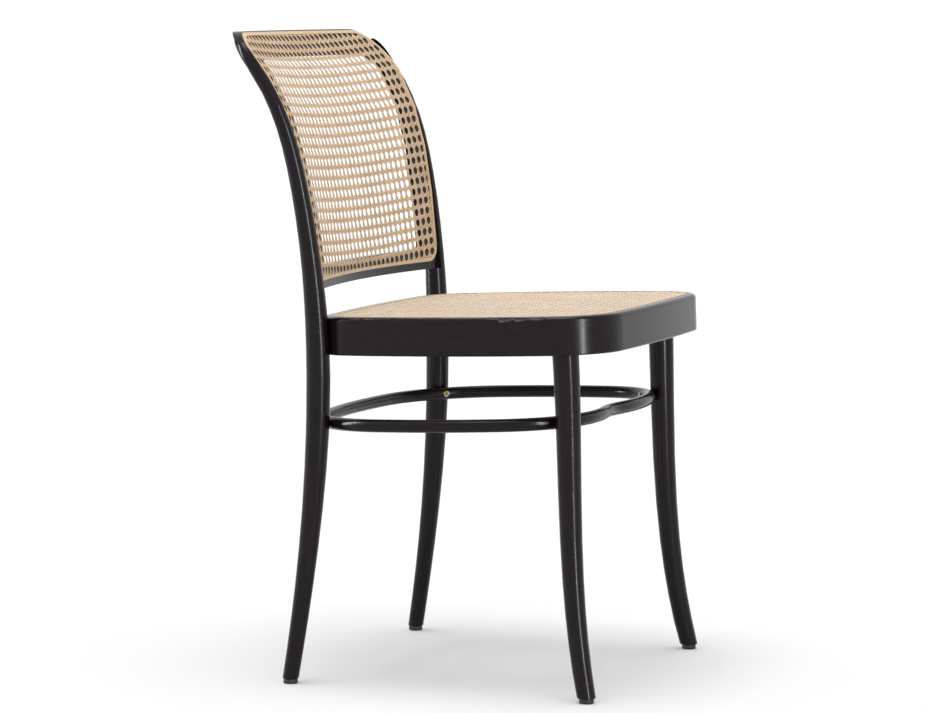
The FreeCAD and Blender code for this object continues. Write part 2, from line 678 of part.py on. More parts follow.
# One wood screw holds the leg ring to each leg, driven from inside the ring.
ring_screws = {}
for hand, way in SIDES:
    for end, point, leg in (("front", by_front, at_front), ("rear", by_rear, at_rear)):
        start = Vector(way * point.x, point.y, 0)
        along = (Vector(way * leg.x, leg.y, 0) - start).normalize()
        along_level = ring_place.Rotation.multVec(along)
        inner = ring_place.multVec(start - along * (ring_radius + size("ring_screw_proud")))
        turned = Rotation(Vector(0, 0, 1), along_level)
        key = "%s_%s" % (end, hand)
        head = cylinder("ring_head_" + key, inner, along_level,
                        Radius="Sizes.ring_screw_head / 2",
                        Height="Sizes.ring_screw_head_height")
        shank = cylinder("ring_shank_" + key, inner, along_level,
                         Radius="Sizes.ring_screw_diameter / 2",
                         Height="Sizes.ring_screw_length")
        ring_screws["ring_screw_" + key] = joined("Part::MultiFuse", "ring_fixing_" + key,
                                                  [head, shank])

# A plastic glide under each leg.
glides = {}
for hand, way in SIDES:
    rear = post_axis(glide_height)
    for end, foot in (("front", leg_axis(glide_height, way)),
                      ("rear", Vector(way * rear.x, rear.y, 0))):
        glides["glide_%s_%s" % (end, hand)] = cylinder(
            "glide_disc_%s_%s" % (end, hand), Vector(foot.x, foot.y, 0), Vector(0, 0, 1),
            Radius="Sizes.glide_diameter / 2", Height="Sizes.glide_height")

# Each piece less what is let into it.
nodes = {}
rear_fixings = [ring_screws["ring_screw_rear_" + hand] for hand, _ in SIDES]
nodes["back_hoop"] = cut("hoop", hoop_rod, [housing] + list(coach_screws.values())
                         + rear_fixings)
nodes["back_panel_arch"] = cut("arch", arch_blank, list(dowels.values()))
nodes["back_bottom_rail"] = cut("rail", rail_blank, list(dowels.values()))
nodes["back_cane"] = back_cane
nodes["back_spline"] = back_spline
nodes["seat_frame"] = cut("seat_frame_ring", seat_ring, [hoop_rod] + list(tenons.values())
                          + list(coach_screws.values()))
nodes["seat_cane"] = seat_cane
nodes["seat_spline"] = seat_spline
nodes["stretcher_ring"] = cut("leg_ring", ring_rod, list(ring_screws.values()))
for hand, _ in SIDES:
    shaft = cut("leg_shaft_" + hand, leg_rods[hand], [seat_block])
    whole = joined("Part::MultiFuse", "leg_whole_" + hand, [shaft, tenons[hand]])
    nodes["front_leg_" + hand] = cut("leg_" + hand, whole, [
        wedges[hand], ring_screws["ring_screw_front_" + hand]])
    nodes["tenon_wedge_" + hand] = wedges[hand]
for group in (dowels, coach_screws, ring_screws, glides):
    nodes.update(group)
doc.recompute()

# Every object is checked, and the origin goes to the middle of the footprint.
for obj in doc.Objects:
    if "Invalid" in obj.State or "Error" in obj.State:
        raise RuntimeError("%s did not build" % obj.Name)
low = min(obj.Shape.optimalBoundingBox(False, False).YMin for obj in nodes.values())
high = max(obj.Shape.optimalBoundingBox(False, False).YMax for obj in nodes.values())
centred = Placement(Vector(0, -(low + high) / 2.0, 0), Rotation())
for name, obj in nodes.items():
    obj.Label = name
    obj.Placement = centred.multiply(obj.Placement)
    shape = obj.Shape
    if shape.isNull() or not shape.isValid() or len(shape.Solids) != 1:
        raise RuntimeError("%s is not one valid solid" % name)
os.makedirs(OUT, exist_ok=True)
for name, obj in nodes.items():
    obj.Shape.exportStep(os.path.join(OUT, name + ".step"))
    print("%-26s %12.1f mm3" % (name, obj.Shape.Volume))
print("depth before centring: %.2f to %.2f" % (low, high))
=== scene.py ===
import math

import bmesh
import bpy
import numpy as np
from mathutils import Matrix, Vector
from mathutils.geometry import convex_hull_2d


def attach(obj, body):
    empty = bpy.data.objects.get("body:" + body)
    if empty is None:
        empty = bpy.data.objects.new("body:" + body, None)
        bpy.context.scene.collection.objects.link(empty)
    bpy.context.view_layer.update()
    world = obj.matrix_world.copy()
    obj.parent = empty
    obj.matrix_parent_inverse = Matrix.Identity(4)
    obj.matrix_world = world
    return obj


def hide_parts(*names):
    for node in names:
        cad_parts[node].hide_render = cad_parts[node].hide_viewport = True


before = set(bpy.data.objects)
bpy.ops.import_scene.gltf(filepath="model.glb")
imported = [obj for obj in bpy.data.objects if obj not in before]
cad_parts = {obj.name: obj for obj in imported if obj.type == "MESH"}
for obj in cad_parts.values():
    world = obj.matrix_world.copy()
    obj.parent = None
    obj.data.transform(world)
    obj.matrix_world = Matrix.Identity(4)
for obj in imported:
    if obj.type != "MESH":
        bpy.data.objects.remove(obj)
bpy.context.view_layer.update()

# The hoop: one beech rod, steamed and bent into both rear legs, the posts and the top.
# It is stained black and given a satin lacquer, so the grain only shows as fine streaks
# that follow the bend.


class Shade:
    """A value, colour or vector of a finish. Working with it adds the nodes."""

    def __init__(self, tree, socket=None):
        self.tree, self.socket = tree, socket

    def node(self, kind, settings=None, inputs=None, output=0):
        made = self.tree.nodes.new(kind)
        for name, value in (settings or {}).items():
            setattr(made, name, value)
        for key, value in (inputs or {}).items():
            if isinstance(value, Shade):
                self.tree.links.new(value.socket, made.inputs[key])
            else:
                made.inputs[key].default_value = value
        return Shade(self.tree, made.outputs[output])

    def maths(self, operation, *values):
        return self.node("ShaderNodeMath", {"operation": operation}, dict(enumerate(values)))

    def __add__(self, other):
        return self.maths("ADD", self, other)

    def __sub__(self, other):
        return self.maths("SUBTRACT", self, other)

    def __mul__(self, other):
        return self.maths("MULTIPLY", self, other)

    __radd__, __rmul__ = __add__, __mul__

    def step(self, low, high):
        """0 below low, 1 above high and smooth in between."""
        return self.node("ShaderNodeMapRange", {"interpolation_type": "SMOOTHSTEP"},
                         {"Value": self, "From Min": low, "From Max": high})

    def split(self):
        """The x, y and z of a vector."""
        return [self.node("ShaderNodeSeparateXYZ", inputs={0: self}, output=i)
                for i in range(3)]

    def join(self, x, y, z):
        return self.node("ShaderNodeCombineXYZ", inputs={0: x, 1: y, 2: z})

    def noise(self, where, scale, detail=2.0, roughness=0.5):
        return self.node("ShaderNodeTexNoise", None, {
            "Vector": where, "Scale": scale, "Detail": detail, "Roughness": roughness})

    def mix(self, share, first, second):
        """A colour or number between two, as a colour."""
        return self.node("ShaderNodeMix", {"data_type": "RGBA"},
                         {0: share, 6: first, 7: second}, output=2)


def srgb(red, green, blue):
    """A colour given as it looks on a screen, 0 to 255."""
    return [((c / 255 + 0.055) / 1.055) ** 2.4 if c > 10 else c / 255 / 12.92
            for c in (red, green, blue)]


def finish(name):
    """An empty material, its shader and a shade to start from."""
    made = bpy.data.materials.new(name)
    made.use_nodes = True
    tree = made.node_tree
    return made, tree.nodes["Principled BSDF"], Shade(tree)


def give(shader, tone, **values):
    """Sets the shader's sockets: plain numbers as they are, shades by a link."""
    for name, value in values.items():
        socket = shader.inputs[name.replace("_", " ").title().replace("Ior", "IOR")]
        if isinstance(value, Shade):
            tone.tree.links.new(value.socket, socket)
        else:
            socket.default_value = value


STAIN_DARK = srgb(16, 10, 15)
STAIN_PALE = srgb(29, 20, 27)
HOOP_TURNS = 0.79
HOOP_TURN_BLEND = 0.02
GRAIN_STRETCH = 0.02
RINGS_FORE = 0.06
RINGS_REACH = 0.2


def along_up(tone, x, y, z):
    return tone.join(x, y, z * GRAIN_STRETCH)


def along_across(tone, x, y, z):
    return tone.join(x * GRAIN_STRETCH, y, z)


def along_round(tone, x, y, z):
    """Round the seat ring and the leg ring, whose middle is a little to the front."""
    fore = y + RINGS_FORE
    turn = tone.maths("ARCTAN2", fore, x)
    out = tone.maths("SQRT", x * x + fore * fore)
    return tone.join(turn * RINGS_REACH * GRAIN_STRETCH, out, z)


def along_hoop(tone, x, y, z):
    """Up the posts, then across the top."""
    top = z.step(HOOP_TURNS, HOOP_TURNS + HOOP_TURN_BLEND)
    return tone.node("ShaderNodeMix", {"data_type": "VECTOR"}, {
        0: top, 4: along_up(tone, x, y, z), 5: along_across(tone, x, y, z)}, output=1)


def stained_beech(name, grain_way):
    """Black-stained beech under satin lacquer, its grain running grain_way."""
    made, shader, tone = finish(name)
    here = tone.node("ShaderNodeTexCoord", output="Object")
    where = grain_way(tone, *here.split())
    streaks = tone.noise(where, 520.0, 3.0, 0.62)
    bands = tone.noise(where, 90.0, 2.0, 0.5)
    cloud = tone.noise(here, 9.0, 2.0)
    pores = tone.noise(where, 1500.0, 1.0).step(0.62, 0.72)
    grain = (streaks * 0.6 + bands * 0.4).step(0.36, 0.66)
    colour = tone.mix(grain * 0.75 + cloud * 0.2, (*STAIN_DARK, 1.0), (*STAIN_PALE, 1.0))
    height = grain * 0.5 - pores * 0.6 + cloud * 0.4
    bump = tone.node("ShaderNodeBump", None, {
        "Strength": 0.1, "Distance": 0.0001, "Height": height})
    give(shader, tone, base_color=colour, roughness=0.2 + grain * 0.03 + pores * 0.06,
         normal=bump, specular_ior_level=0.19)
    return made


def dress(node, material):
    """Gives a CAD node its finish and keeps its shape."""
    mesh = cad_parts[node].data
    mesh.materials.clear()
    mesh.materials.append(material)


dress("back_hoop", stained_beech("hoop_black_beech", along_hoop))

# The back panel's frame: a flat bent arch let into the front of the hoop, and a bottom
# rail dowelled between its feet. Both are beech, stained with the hoop.
dress("back_panel_arch", stained_beech("arch_black_beech", along_hoop))
dress("back_bottom_rail", stained_beech("rail_black_beech", along_across))


def plain_beech(name, grain_way):
    """Bare beech, as it is inside the joints."""
    made, shader, tone = finish(name)
    here = tone.node("ShaderNodeTexCoord", output="Object")
    where = grain_way(tone, *here.split())
    grain = tone.noise(where, 700.0, 3.0, 0.6)
    colour = tone.mix(grain, (*srgb(196, 158, 118), 1.0), (*srgb(222, 190, 150), 1.0))
    bump = tone.node("ShaderNodeBump", None, {
        "Strength": 0.3, "Distance": 0.0001, "Height": grain})
    give(shader, tone, base_color=colour, roughness=0.5 + grain * 0.15, normal=bump)
    return made


dowel_beech = plain_beech("dowel_beech", along_across)
for hand in ("left", "right"):
    for place in ("lower", "upper"):
        dress("rail_dowel_%s_%s" % (hand, place), dowel_beech)

# The cane of the back: one machine-woven sheet, pressed into the groove wet. Uprights and
# crosswise strands go in pairs, over and under each other, and a single strand runs each
# way on the diagonal and cuts the corners of the holes.
STRAND_WIDTH = 0.00205
STRAND_THICK = 0.00080
PAIR_GAP = 0.00112
WEAVE_LIFT = 0.00030
DIAGONAL_LIFT = 0.00048
DIAGONAL_BEND = 0.00065
EDGE_HALVINGS = 9
HUE_STEP = 0.6180339


def placed(name, data):
    """A new object of the scene."""
    made = bpy.data.objects.new(name, data)
    bpy.context.scene.collection.objects.link(made)
    return made


def strand_profile():
    """The corners of a strand's section: how far aside, and the share of its thickness
    that they stand out. The back is flat and the face crowned."""
    half = STRAND_WIDTH / 2.0
    return [(-half, -0.35), (-half * 0.45, 0.5), (half * 0.45, 0.5), (half, -0.35)]


def stretches(line, lifts, inside):
    """The parts of a strand's line that lie within the groove, each carried on to the
    groove's edge, where its ends lie flat."""
    kept = inside(line[:, 0], line[:, 1])
    runs, begin = [], 0 if kept[0] else None
    for edge in np.flatnonzero(np.diff(kept.astype(int))):
        if kept[edge + 1]:
            begin = edge + 1
        else:
            runs.append((begin, edge))
            begin = None
    if begin is not None:
        runs.append((begin, len(line) - 1))
    for first, last in runs:
        points, levels = list(line[first:last + 1]), list(lifts[first:last + 1])
        for end, out in ((0, first - 1), (-1, last + 1)):
            if 0 <= out < len(line):
                near, far = points[end], line[out]
                for _ in range(EDGE_HALVINGS):
                    middle = (near + far) / 2.0
                    if inside(middle[:1], middle[1:])[0]:
                        near = middle
                    else:
                        far = middle
                at = 0 if end == 0 else len(points)
                points.insert(at, near)
                levels.insert(at, 0.0)
        yield points, levels


def weave(name, place, inside, pitch, columns, rows, start):
    """A woven sheet. place maps sheet points (u, v, lift) to space, inside tells which
    sheet points lie within the groove, start is the first hole's middle."""
    across, up = pitch
    low_u, low_v = start[0] - across / 2.0, start[1] - up / 2.0
    sheet_points, sheet_faces, strand_marks = [], [], []

    def lay(line, lifts, number):
        """One strand along a line of sheet points, cut where it leaves the groove."""
        for points, levels in stretches(np.array(line), np.array(lifts), inside):
            if len(points) < 3:
                continue
            points, levels = np.array(points), np.array(levels)
            way = np.gradient(points, axis=0)
            way /= np.linalg.norm(way, axis=1)[:, None] + 1e-12
            side = np.c_[-way[:, 1], way[:, 0]]
            base = sum(len(block) for block in sheet_points)
            profile = strand_profile()
            block = [np.c_[points + side * offset, levels + rise * STRAND_THICK]
                     for offset, rise in profile]
            sheet_points.append(np.stack(block, 1).reshape(-1, 3))
            wide, count = len(profile), len(points)
            for i in range(count - 1):
                for k in range(wide):
                    a, b = base + i * wide + k, base + i * wide + (k + 1) % wide
                    sheet_faces.append((a, a + wide, b + wide, b))
            sheet_faces.append(tuple(base + k for k in range(wide)))
            end = base + (count - 1) * wide
            sheet_faces.append(tuple(end + k for k in reversed(range(wide))))
            length = np.r_[0, np.cumsum(np.linalg.norm(np.diff(points, axis=0), axis=1))]
            strand_marks.append((number, np.repeat(length, wide)))

    number = 0
    for i in range(columns + 1):
        for sign in (-1, 1):
            u, line, lifts = low_u + i * across + sign * PAIR_GAP, [], []
            for j in range(rows + 1):
                v = low_v + j * up
                for gap, lift in ((-PAIR_GAP, -sign), (PAIR_GAP, sign), (up / 2.0, 0.0)):
                    line.append((u, v + gap))
                    lifts.append(lift * WEAVE_LIFT)
            lay(line, lifts, number)
            number += 1
    for j in range(rows + 1):
        for sign in (-1, 1):
            v, line, lifts = low_v + j * up + sign * PAIR_GAP, [], []
            for i in range(columns + 1):
                u = low_u + i * across
                for gap, lift in ((-PAIR_GAP, sign), (PAIR_GAP, -sign), (across / 2.0, 0.0)):
                    line.append((u + gap, v))
                    lifts.append(lift * WEAVE_LIFT)
            lay(line, lifts, number)
            number += 1
    for slope in (-1, 1):
        for shift in range(-rows - 1, columns + rows + 2):
            line, lifts = [], []
            for k in range(2 * rows + 1):
                near_node = DIAGONAL_BEND if k % 2 == 0 else -DIAGONAL_BEND
                for part, aside, lift in ((0.0, 0.0, 1 - 2 * (k % 2)), (0.5, near_node, 0)):
                    along = shift + 0.5 + slope * (k + part) / 2.0
                    line.append((low_u + along * across + slope * aside,
                                 low_v + (k + part) / 2.0 * up - aside))
                    lifts.append(lift * slope * DIAGONAL_LIFT)
            lay(line, lifts, number)
            number += 1

    flat = np.concatenate(sheet_points)
    spots = place(flat[:, 0], flat[:, 1], flat[:, 2])
    mesh = bpy.data.meshes.new(name)
    mesh.from_pydata(spots.tolist(), [], sheet_faces)
    for attribute, values in (("strand", [np.full(len(m), (n * HUE_STEP) % 1.0)
                                          for n, m in strand_marks]),
                              ("run", [m for _, m in strand_marks])):
        layer = mesh.attributes.new(attribute, "FLOAT", "POINT")
        layer.data.foreach_set("value", np.concatenate(values).astype(np.float32))
    mesh.polygons.foreach_set("use_smooth", [True] * len(mesh.polygons))
    mesh.update()
    return placed(name, mesh)


def split_cane(name, pale, deep):
    """The peeled skin of rattan: each strand a little different, with fibres and knots."""
    made, shader, tone = finish(name)
    here = tone.node("ShaderNodeTexCoord", output="Object")
    strand = tone.node("ShaderNodeAttribute", {"attribute_name": "strand"}, output="Fac")
    run = tone.node("ShaderNodeAttribute", {"attribute_name": "run"}, output="Fac")
    tint = tone.noise(tone.join(strand * 90.0, run * 14.0, 0.0), 1.0, 2.0)
    fibre = tone.noise(here, 2600.0, 1.0)
    knots = tone.noise(tone.join(strand * 170.0, run * 55.0, 3.0), 1.0, 1.0).step(0.68, 0.74)
    share = tint.step(0.3, 0.7) * 0.75 + fibre * 0.2 + knots * 0.25
    colour = tone.mix(share, (*pale, 1.0), (*deep, 1.0))
    bump = tone.node("ShaderNodeBump", None, {
        "Strength": 0.35, "Distance": 0.0001, "Height": fibre})
    give(shader, tone, base_color=colour, roughness=0.42 + fibre * 0.16 + knots * 0.1,
         normal=bump, specular_ior_level=0.45)
    return made


# The sheet's curve: its height, its depth at the middle and its depth BACK_REACH to the side.
BACK_REACH = 0.2395
BACK_LEVELS = np.array([
    (0.480, 0.140243, 0.111054), (0.540, 0.145179, 0.116756), (0.610, 0.154451, 0.127035),
    (0.670, 0.166029, 0.139362), (0.725, 0.183019, 0.156806), (0.775, 0.208626, 0.182545),
    (0.840, 0.262481, 0.236088)])
BACK_PITCH = (0.0137, 0.01396)
BACK_ROWS_RISE = 0.008
BACK_ROWS_HALF = 0.2
SHORT_STEP = 0.001
BACK_SLOPES = np.r_[0, np.cumsum(np.hypot(np.diff(BACK_LEVELS[:, 0]),
                                          np.diff(BACK_LEVELS[:, 1])))]


def back_depth(x, z):
    """How far back the hollow sheet lies, at a point seen from the front."""
    middle = np.interp(z, BACK_LEVELS[:, 0], BACK_LEVELS[:, 1])
    outer = np.interp(z, BACK_LEVELS[:, 0], BACK_LEVELS[:, 2])
    sag = middle - outer
    bow = (BACK_REACH ** 2 + sag ** 2) / (2.0 * sag)
    return middle - bow + np.sqrt(bow ** 2 - x ** 2)


def back_height(x, v):
    """Height of a sheet point: its rows rise a little to both sides."""
    along_slope = v + BACK_ROWS_RISE * (x / BACK_ROWS_HALF) ** 2
    return np.interp(along_slope, BACK_SLOPES, BACK_LEVELS[:, 0])


def place_on_back(u, v, lift):
    """Sheet points of the back in space, lifted off the sheet towards the front."""
    z = back_height(u, v)
    y = back_depth(u, z)
    slope = (back_depth(u, z + SHORT_STEP) - back_depth(u, z - SHORT_STEP)) / (2 * SHORT_STEP)
    turn = (back_depth(u + SHORT_STEP, z) - back_depth(u - SHORT_STEP, z)) / (2 * SHORT_STEP)
    out = np.c_[turn, -np.ones_like(u), slope]
    out /= np.linalg.norm(out, axis=1)[:, None]
    return np.c_[u, y, z] + out * lift[:, None]


def within(x, z, corners, turns):
    """Inside a convex outline of four corners, each rounded by its own radius."""
    corners = np.array(corners)
    middle = corners.mean(0)
    kept = np.ones(len(x), bool)
    spots = np.c_[x, z]
    for i, corner in enumerate(corners):
        before, after = corners[i - 1], corners[(i + 1) % 4]
        way = (after - corner) / np.linalg.norm(after - corner)
        inward = np.array((-way[1], way[0]))
        if inward @ (middle - corner) < 0:
            inward = -inward
        kept &= (spots - corner) @ inward > 0
        back = (before - corner) / np.linalg.norm(before - corner)
        half = math.acos(np.clip(back @ way, -1, 1)) / 2.0
        bisector = (back + way) / np.linalg.norm(back + way)
        centre = corner + bisector * turns[i] / math.sin(half)
        reach = turns[i] / math.tan(half)
        off_corner = np.linalg.norm(spots - corner, axis=1)
        in_corner = (((spots - corner) @ way < reach) & ((spots - corner) @ back < reach)
                     & (off_corner < np.linalg.norm(centre - corner)))
        kept &= ~(in_corner & (np.linalg.norm(spots - centre, axis=1) > turns[i]))
    return kept


# The outline that the sheet is cut to: half widths and heights of the groove at its bottom
# and top, its play, how far the spline covers the sheet, and the corners' radii.
SPLINE_GRIP = 0.0026
GROOVE_PLAY = 0.0013
GROOVE_HALVES = (0.2024, 0.2252)
GROOVE_ENDS = (0.515, 0.8281)
GROOVE_TURNS = (0.020, 0.0477)
low_half, high_half = [half - GROOVE_PLAY - SPLINE_GRIP for half in GROOVE_HALVES]
low_turn, high_turn = [turn - SPLINE_GRIP for turn in GROOVE_TURNS]
low_edge, high_edge = GROOVE_ENDS[0] + SPLINE_GRIP, GROOVE_ENDS[1] - SPLINE_GRIP


def in_back(u, v):
    return within(u, back_height(u, v),
                  [(-low_half, low_edge), (low_half, low_edge),
                   (high_half, high_edge), (-high_half, high_edge)],
                  [low_turn, low_turn, high_turn, high_turn])


# Holes to each side of the middle one, and the lowest row seen, up the slope.
HOLES_ASIDE = 16
COLUMNS = 2 * HOLES_ASIDE + 1
BACK_ROWS = 28
FIRST_ROW = 0.0033 + 0.010
back_weave = weave("back_weave", place_on_back, in_back, BACK_PITCH, COLUMNS, BACK_ROWS,
                   (-HOLES_ASIDE * BACK_PITCH[0], FIRST_ROW - BACK_PITCH[1]))
back_weave.data.materials.append(
    split_cane("back_split_cane", srgb(237, 211, 178), srgb(203, 169, 131)))
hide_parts("back_cane")
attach(back_weave, "root")


def reed(name, grain_way):
    """The reed spline that wedges the sheet in its groove."""
    made, shader, tone = finish(name)
    here = tone.node("ShaderNodeTexCoord", output="Object")
    where = grain_way(tone, *here.split())
    fibre = tone.noise(where, 1300.0, 2.0)
    cloud = tone.noise(here, 26.0, 2.0)
    colour = tone.mix(fibre * 0.55 + cloud * 0.4, (*srgb(240, 214, 180), 1.0),
                      (*srgb(206, 170, 128), 1.0))
    bump = tone.node("ShaderNodeBump", None, {
        "Strength": 0.3, "Distance": 0.00015, "Height": fibre})
    give(shader, tone, base_color=colour, roughness=0.4 + fibre * 0.15, normal=bump,
         specular_ior_level=0.45)
    return made


dress("back_spline", reed("back_reed", along_hoop))

# The seat: a beech ring, bent from one flat length and housed round both posts. Its
# cane is the same sheet as the back's, held in a groove by its own spline.
dress("seat_frame", stained_beech("seat_black_beech", along_round))
dress("seat_spline", reed("seat_reed", along_round))

SEAT_FALL = math.radians(2.06)
SEAT_MIDDLE = Vector((0.0, -0.011915, 0.4743))
SEAT_PITCH = (0.0140, 0.0140)
SEAT_ROWS = 30
SEAT_FRONT = -0.252
SEAT_SINK = 0.0006
seat_rim_points = np.array([v.co[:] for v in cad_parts["seat_spline"].data.vertices])
seat_turn = np.array(Matrix.Rotation(-SEAT_FALL, 3, "X"))
flat_rim = (seat_rim_points - np.array(SEAT_MIDDLE)) @ seat_turn
rim_spots = np.unique(np.round(flat_rim[:, :2], 6), axis=0)
rim = rim_spots[convex_hull_2d([Vector(spot) for spot in rim_spots])]


def in_seat(u, v):
    """Inside the spline's outer edge, which is convex, by the spline's grip."""
    kept = np.ones(len(u), bool)
    for here, after in zip(rim, np.roll(rim, -1, axis=0)):
        way = (after - here) / np.linalg.norm(after - here)
        middle_side = np.sign(way[0] * -here[1] - way[1] * -here[0])
        aside = (u - here[0]) * -way[1] + (v - here[1]) * way[0]
        kept &= aside * middle_side > SPLINE_GRIP
    return kept


def place_on_seat(u, v, lift):
    """Sheet points of the seat in space, on the plane that falls to the back."""
    return np.c_[u, v, lift - SEAT_SINK] @ seat_turn.T + np.array(SEAT_MIDDLE)


seat_weave = weave("seat_weave", place_on_seat, in_seat, SEAT_PITCH, COLUMNS, SEAT_ROWS,
                   (-HOLES_ASIDE * SEAT_PITCH[0], SEAT_FRONT + SEAT_PITCH[1] * 0.5))
seat_weave.data.materials.append(
    split_cane("seat_split_cane", srgb(242, 226, 206), srgb(210, 185, 156)))
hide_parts("seat_cane")
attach(seat_weave, "root")

# The front legs: turned and bent beech, each with a tenon let into the seat ring from
# below and spread by a wedge.
leg_beech = stained_beech("leg_black_beech", along_up)
for hand in ("left", "right"):
    dress("front_leg_" + hand, leg_beech)
    dress("tenon_wedge_" + hand, dowel_beech)

# The leg ring: a round rod, bent into a closed ring inside the four legs and screwed to
# each of them from within.
dress("stretcher_ring", stained_beech("ring_black_beech", along_round))


def metal(name, colour, roughness):
    """Plated steel with fine turning marks."""
    made, shader, tone = finish(name)
    here = tone.node("ShaderNodeTexCoord", output="Object")
    marks = tone.noise(here, 3000.0, 2.0)
    cloud = tone.noise(here, 300.0, 2.0)
    shaded = tone.mix(cloud * 0.6, (*colour, 1.0), (*[c * 0.6 for c in colour], 1.0))
    bump = tone.node("ShaderNodeBump", None, {
        "Strength": 0.3, "Distance": 0.00005, "Height": marks})
    give(shader, tone, base_color=shaded, roughness=roughness + marks * 0.15, normal=bump,
         metallic=1.0)
    return made


# The recess: half its span, half the width of an arm, its depth, how much it narrows and
# widens to its two ends, and how far the tool stands out of the head.
RECESS_ARM, RECESS_HALF, RECESS_DEEP = 0.0022, 0.00048, 0.0021
RECESS_FOOT, RECESS_MOUTH, RECESS_RISE = 0.55, 1.2, 0.001
SHANK_SHARE = 0.7
HEAD_TOP = 0.0004
SHARP_EDGE = math.radians(35.0)


def recess_tool(head, outward):
    """A tapered cross, sunk into a screw's head along its axis."""
    a, w = RECESS_ARM, RECESS_HALF
    outline = [(w, w), (w, a), (-w, a), (-w, w), (-a, w), (-a, -w),
               (-w, -w), (-w, -a), (w, -a), (w, -w), (a, -w), (a, w)]
    points = [(x * RECESS_FOOT, y * RECESS_FOOT, -RECESS_DEEP) for x, y in outline]
    points += [(x * RECESS_MOUTH, y * RECESS_MOUTH, RECESS_RISE) for x, y in outline]
    faces = [tuple(reversed(range(12))), tuple(range(12, 24))]
    faces += [(i, (i + 1) % 12, (i + 1) % 12 + 12, i + 12) for i in range(12)]
    mesh = bpy.data.meshes.new("recess_tool")
    mesh.from_pydata(points, [], faces)
    turn = outward.to_track_quat("Z", "Y").to_matrix().to_4x4()
    mesh.transform(Matrix.Translation(head) @ turn)
    return placed("recess_tool", mesh)


def cross_recess(node, material):
    """The CAD screw with a cross recess cut into its head. The head is the end with the
    widest point."""
    welded = bmesh.new()
    welded.from_mesh(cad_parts[node].data)
    bmesh.ops.remove_doubles(welded, verts=welded.verts, dist=1e-6)
    mesh = bpy.data.meshes.new(node + "_cut")
    welded.to_mesh(mesh)
    welded.free()
    spots = np.array([v.co[:] for v in mesh.vertices])
    centred = spots - spots.mean(0)
    axis = np.linalg.svd(centred)[2][0]
    along = centred @ axis
    off = np.linalg.norm(centred - np.outer(along, axis), axis=1)
    if along[off.argmax()] < np.median(along[off < off.max() * SHANK_SHARE]):
        axis, along = -axis, -along
    top = spots[along > along.max() - HEAD_TOP]
    tool = recess_tool(Vector((top.min(0) + top.max(0)) / 2.0), Vector(axis))
    piece = placed(node + "_crossed", mesh)
    cut = piece.modifiers.new("recess", "BOOLEAN")
    cut.operation, cut.solver, cut.object = "DIFFERENCE", "EXACT", tool
    done = piece.evaluated_get(bpy.context.evaluated_depsgraph_get())
    finished = bpy.data.meshes.new_from_object(done)
    piece.modifiers.clear()
    piece.data = finished
    bpy.data.objects.remove(tool)
    finished.materials.clear()
    finished.materials.append(material)
    finished.polygons.foreach_set("use_smooth", [True] * len(finished.polygons))
    finished.set_sharp_from_angle(angle=SHARP_EDGE)
    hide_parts(node)
    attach(piece, "root")


yellow_zinc = metal("yellow_zinc", srgb(176, 160, 122), 0.34)
bright_zinc = metal("bright_zinc", srgb(188, 190, 192), 0.32)
for hand in ("left", "right"):
    for end in ("front", "rear"):
        cross_recess("ring_screw_%s_%s" % (end, hand), yellow_zinc)

# A coach screw runs from inside each rear corner of the seat ring into its post. Its
# hexagon head stays in view under the seat.
for hand in ("left", "right"):
    dress("coach_screw_" + hand, bright_zinc)

# A black plastic glide is nailed under each leg. The nail's head sits in a recess and
# stays clear of the floor.


def black_plastic(name):
    """Moulded plastic, a little rough."""
    made, shader, tone = finish(name)
    here = tone.node("ShaderNodeTexCoord", output="Object")
    grain = tone.noise(here, 1800.0, 3.0)
    colour = tone.mix(grain, (*srgb(20, 20, 21), 1.0), (*srgb(38, 38, 39), 1.0))
    bump = tone.node("ShaderNodeBump", None, {
        "Strength": 0.4, "Distance": 0.0001, "Height": grain})
    give(shader, tone, base_color=colour, roughness=0.5 + grain * 0.2, normal=bump)
    return made


def turned(name, profile, middle_x, middle_y, sides=48):
    """A lathe shape from (radius, height) pairs, upright over a point of the floor."""
    points, faces, rings = [], [], []
    for radius, height in profile:
        first, count = len(points), sides if radius else 1
        for k in range(count):
            turn = 2.0 * math.pi * k / sides
            points.append((middle_x + radius * math.cos(turn),
                           middle_y + radius * math.sin(turn), height))
        rings.append((first, count))
    for (low, low_count), (high, high_count) in zip(rings, rings[1:]):
        for k in range(sides):
            after = (k + 1) % sides
            corners = [low + k % low_count, low + after % low_count,
                       high + after % high_count, high + k % high_count]
            faces.append(tuple(dict.fromkeys(corners)))
    mesh = bpy.data.meshes.new(name)
    mesh.from_pydata(points, [], faces)
    mesh.polygons.foreach_set("use_smooth", [True] * len(faces))
    mesh.set_sharp_from_angle(angle=SHARP_EDGE)
    piece = placed(name, mesh)
    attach(piece, "root")
    return piece


